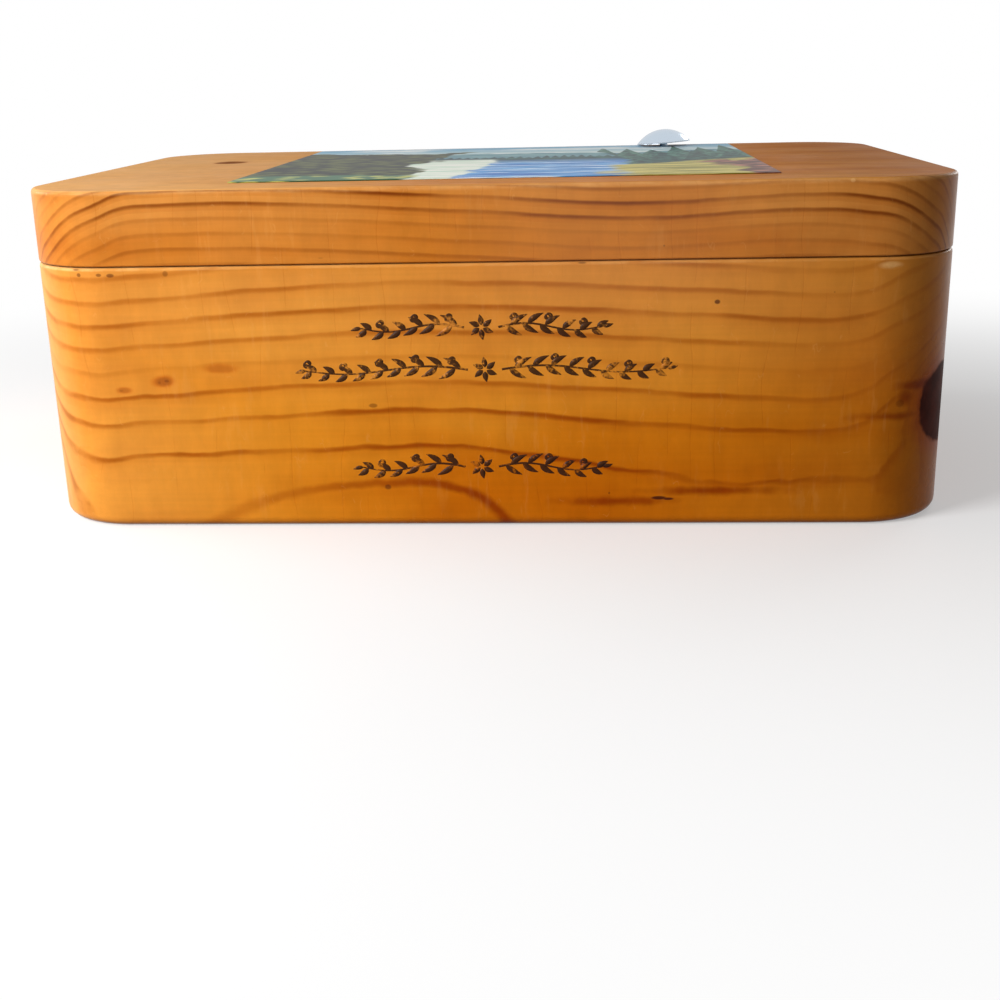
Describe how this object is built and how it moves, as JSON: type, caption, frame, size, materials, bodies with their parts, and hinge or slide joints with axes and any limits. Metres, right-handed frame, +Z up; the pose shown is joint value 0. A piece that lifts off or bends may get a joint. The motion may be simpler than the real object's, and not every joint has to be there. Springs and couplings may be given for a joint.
{
  "type": "hinged wooden souvenir box",
  "caption": "Varnished pine keepsake box hollowed from a block, with rounded corners, a thick lid on brass butt hinges, a glossy picture on the lid and ink ornament on the front.",
  "frame": {"origin": "middle of the flat underside of the base block", "axes": "+Z up, +X to the right along the box's length seen from the front, +Y towards the hinged back"},
  "size_m": [0.177, 0.1219, 0.0692],
  "materials": {
    "pine": "amber gloss varnish over knotty pine, worn at the edges",
    "print": "varnished printed paper",
    "nickel": "bright nickel plate, lightly scratched",
    "brass": "aged brass sheet",
    "screw": "aged brass, slotted"
  },
  "bodies": {
    "base": {"base_block": "pine", "left_hinge_base_leaf": "brass", "left_hinge_pin": "brass", "left_hinge_base_screw_a": "screw", "left_hinge_base_screw_b": "screw", "right_hinge_base_leaf": "brass", "right_hinge_pin": "brass", "right_hinge_base_screw_a": "screw", "right_hinge_base_screw_b": "screw"},
    "lid": {"lid_board": "pine", "lid_print": "print", "lid_tack": "nickel", "left_hinge_lid_leaf": "brass", "left_hinge_lid_screw_a": "screw", "left_hinge_lid_screw_b": "screw", "right_hinge_lid_leaf": "brass", "right_hinge_lid_screw_a": "screw", "right_hinge_lid_screw_b": "screw"}
  },
  "joints": [
    {"name": "lid_hinge", "type": "hinge", "parent": "base", "child": "lid", "pos_m": [0, 0.061, 0.051], "axis": [-1, 0, 0], "range_deg": [0, 180]}
  ]
}
